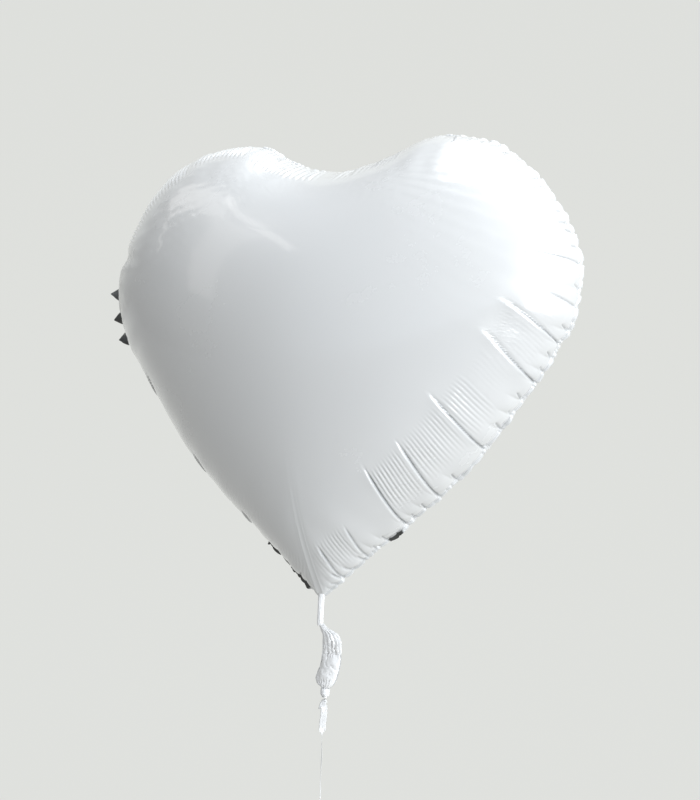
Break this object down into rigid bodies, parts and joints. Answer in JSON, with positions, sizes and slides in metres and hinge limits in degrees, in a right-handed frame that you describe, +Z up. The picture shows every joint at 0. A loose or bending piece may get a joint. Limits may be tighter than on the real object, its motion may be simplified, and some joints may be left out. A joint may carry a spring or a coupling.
{
  "type": "heart-shaped foil balloon",
  "caption": "Filled heart-shaped white foil balloon with a pleated filling tail, an inner valve and a hanging ribbon with a hand loop.",
  "frame": {"origin": "middle of the gathered neck, between the heart's tip and the filling tail", "axes": "+Z up from the tip to the lobes, front film facing -Y, +X across the heart"},
  "size_m": [0.3918, 0.166, 0.5594],
  "materials": {
    "film_white": "pearl-white coated foil film, glossy",
    "valve_clear": "clear polyethylene film",
    "ribbon_white": "satin polypropylene curling ribbon"
  },
  "bodies": {
    "envelope": {"front_panel": "film_white", "back_panel": "film_white", "valve_front_film": "valve_clear", "valve_back_film": "valve_clear", "neck": "film_white"},
    "tail_top": {"tail_pleats": "film_white"},
    "tail": {"tail_front_film": "film_white", "tail_back_film": "film_white", "valve_mouth_front": "valve_clear", "valve_mouth_back": "valve_clear", "ribbon_tie": "ribbon_white"},
    "knot": {"ribbon_knot": "ribbon_white", "ribbon_cut_end": "ribbon_white"},
    "ribbon": {"ribbon": "ribbon_white", "loop_knot": "ribbon_white", "ribbon_loop": "ribbon_white"}
  },
  "joints": [
    {"name": "tail_sway", "type": "hinge", "parent": "envelope", "child": "tail_top", "pos_m": [0, 0, -0.008], "axis": [0, 1, 0], "range_deg": [-40, 40]},
    {"name": "tail_fold", "type": "hinge", "parent": "tail_top", "child": "tail", "pos_m": [0, 0, -0.0309], "axis": [1, 0, 0], "range_deg": [-70, 70]},
    {"name": "ribbon_swing", "type": "hinge", "parent": "tail", "child": "knot", "pos_m": [0.007, 0, -0.0678], "axis": [1, 0, 0], "range_deg": [-75, 75]},
    {"name": "ribbon_sway", "type": "hinge", "parent": "knot", "child": "ribbon", "pos_m": [0.007, 0, -0.0678], "axis": [0, 1, 0], "range_deg": [-75, 75]}
  ]
}
